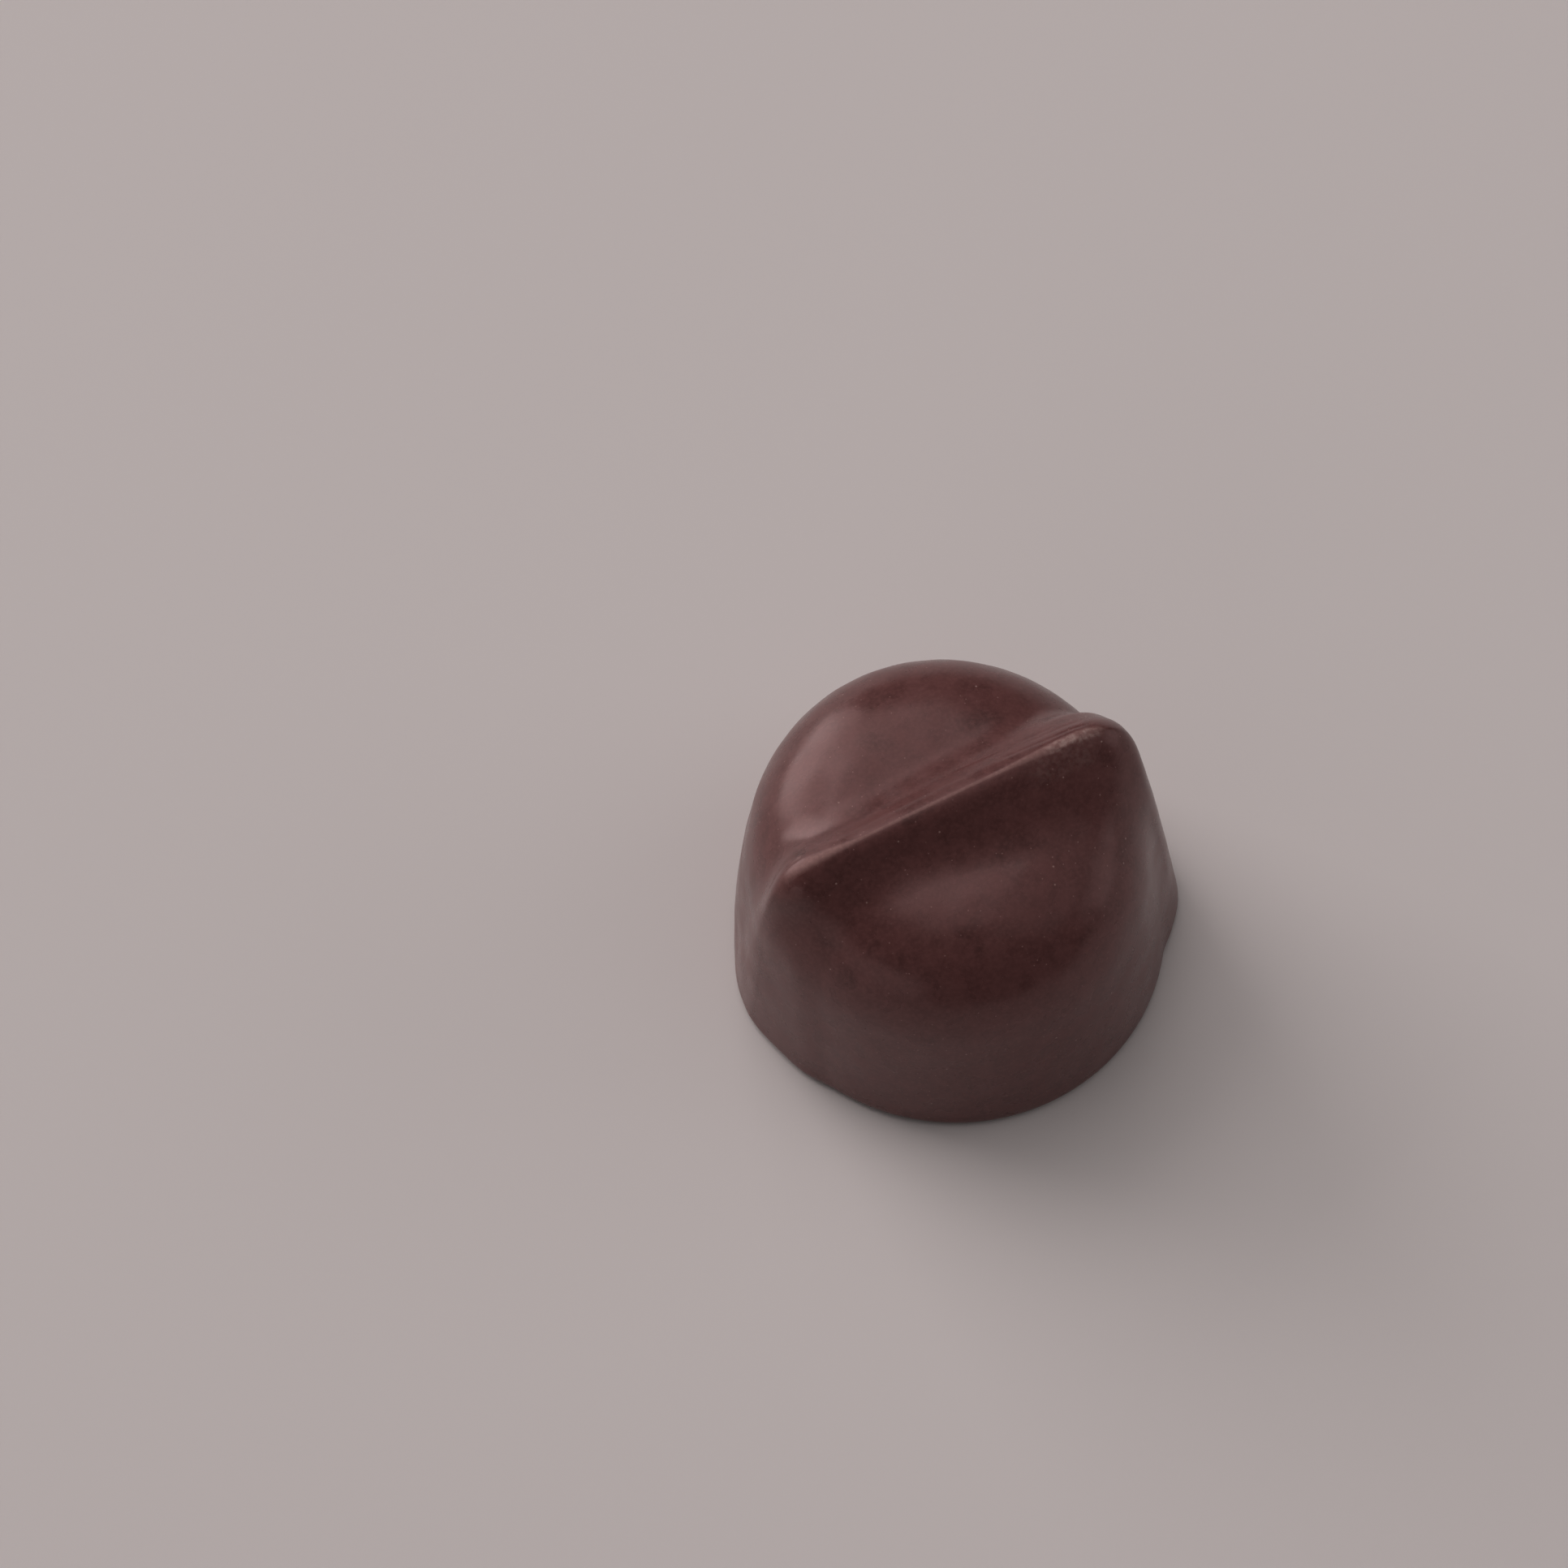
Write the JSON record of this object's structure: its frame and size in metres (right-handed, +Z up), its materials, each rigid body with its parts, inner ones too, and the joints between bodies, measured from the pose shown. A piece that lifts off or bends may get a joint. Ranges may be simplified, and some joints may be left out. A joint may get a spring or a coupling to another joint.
{
  "type": "chocolate drop",
  "caption": "Moulded dark chocolate sweet: a round body on a flat base, crossed by a sharp ridge that runs down both sides as ribs.",
  "frame": {"origin": "middle of the flat round base, where the sweet rests", "axes": "+Z up from the base, +X along the crest of the ridge, +Y towards the back"},
  "size_m": [0.0295, 0.029, 0.0199],
  "materials": {
    "dark_chocolate": "satin dark brown, lightly scuffed along the crest"
  },
  "bodies": {
    "root": {"chocolate_drop": "dark_chocolate"}
  },
  "joints": []
}
